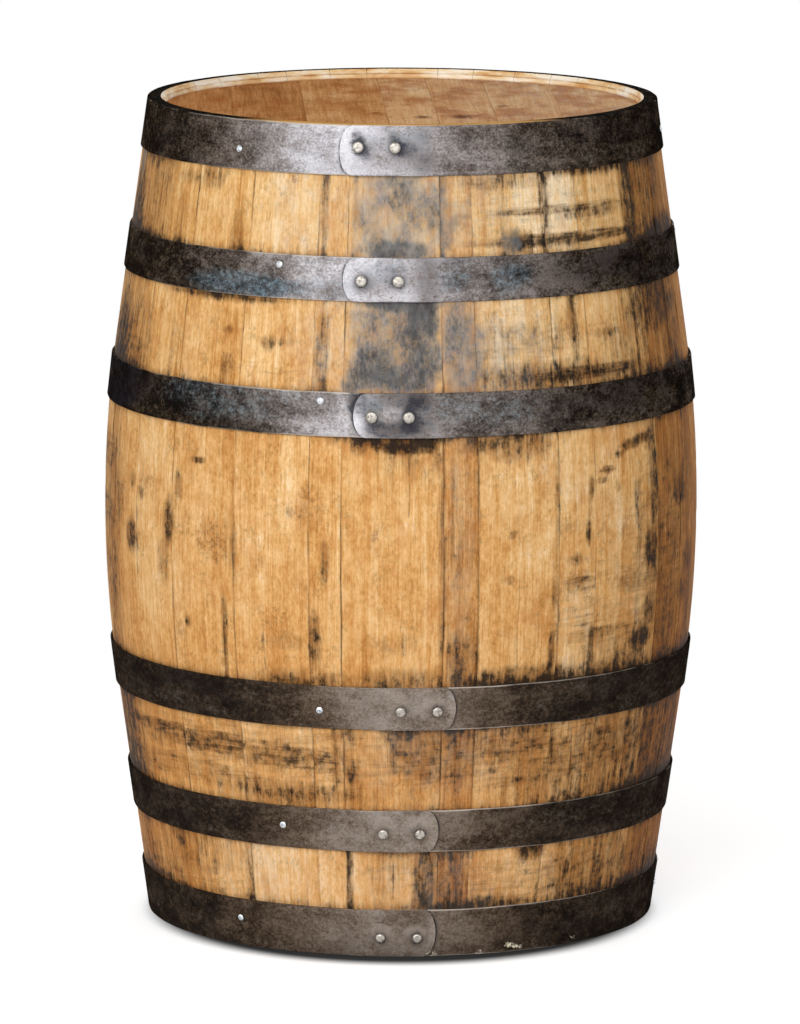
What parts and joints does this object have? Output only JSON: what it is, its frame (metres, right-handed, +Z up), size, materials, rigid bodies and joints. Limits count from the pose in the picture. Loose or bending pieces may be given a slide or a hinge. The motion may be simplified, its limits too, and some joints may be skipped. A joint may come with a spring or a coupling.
{
  "type": "oak cask",
  "caption": "Oak cask standing on end: bent staves in lapped and riveted steel hoops, a boarded head let into each end, and a tapered bung that pulls out of its side.",
  "frame": {"origin": "middle of the bottom end of the staves, on the floor", "axes": "+Z up along the cask's axis; -Y towards the front, where the hoops are riveted; the bung is on +Y"},
  "size_m": [0.6434, 0.6435, 0.889],
  "materials": {
    "stave_oak": "weathered white oak, planed, stained black by iron near the hoops",
    "head_oak": "planed white oak, clean",
    "dowel_beech": "turned, plain",
    "hoop_steel": "rolled mild steel strip, oxidised dark with worn edges",
    "rivet_steel": "cold-headed steel, dull",
    "screw_zinc": "zinc-plated steel",
    "bung_poplar": "turned poplar"
  },
  "bodies": {
    "cask": {"bottom_bilge_hoop": "hoop_steel", "bottom_head_board_1": "head_oak", "bottom_head_board_2": "head_oak", "bottom_head_board_3": "head_oak", "bottom_head_board_4": "head_oak", "bottom_head_board_5": "head_oak", "bottom_head_board_6": "head_oak", "bottom_head_board_7": "head_oak", "bottom_head_dowels": "dowel_beech", "bottom_head_hoop": "hoop_steel", "bottom_quarter_hoop": "hoop_steel", "bung_stave": "stave_oak", "hoop_screws": "screw_zinc", "lower_hoop_rivets": "rivet_steel", "stave_01": "stave_oak", "stave_02": "stave_oak", "stave_03": "stave_oak", "stave_04": "stave_oak", "stave_05": "stave_oak", "stave_06": "stave_oak", "stave_07": "stave_oak", "stave_08": "stave_oak", "stave_09": "stave_oak", "stave_10": "stave_oak", "stave_11": "stave_oak", "stave_12": "stave_oak", "stave_13": "stave_oak", "stave_14": "stave_oak", "stave_15": "stave_oak", "stave_16": "stave_oak", "stave_17": "stave_oak", "stave_18": "stave_oak", "stave_19": "stave_oak", "stave_20": "stave_oak", "stave_21": "stave_oak", "stave_22": "stave_oak", "stave_23": "stave_oak", "stave_24": "stave_oak", "stave_25": "stave_oak", "stave_26": "stave_oak", "stave_27": "stave_oak", "stave_28": "stave_oak", "stave_29": "stave_oak", "stave_30": "stave_oak", "top_bilge_hoop": "hoop_steel", "top_head_board_1": "head_oak", "top_head_board_2": "head_oak", "top_head_board_3": "head_oak", "top_head_board_4": "head_oak", "top_head_board_5": "head_oak", "top_head_board_6": "head_oak", "top_head_board_7": "head_oak", "top_head_dowels": "dowel_beech", "top_head_hoop": "hoop_steel", "top_quarter_hoop": "hoop_steel", "upper_hoop_rivets": "rivet_steel"},
    "bung": {"bung": "bung_poplar"}
  },
  "joints": [
    {"name": "bung_pull", "type": "slide", "parent": "cask", "child": "bung", "axis": [0, 1, 0], "range_m": [0, 0.06]}
  ]
}
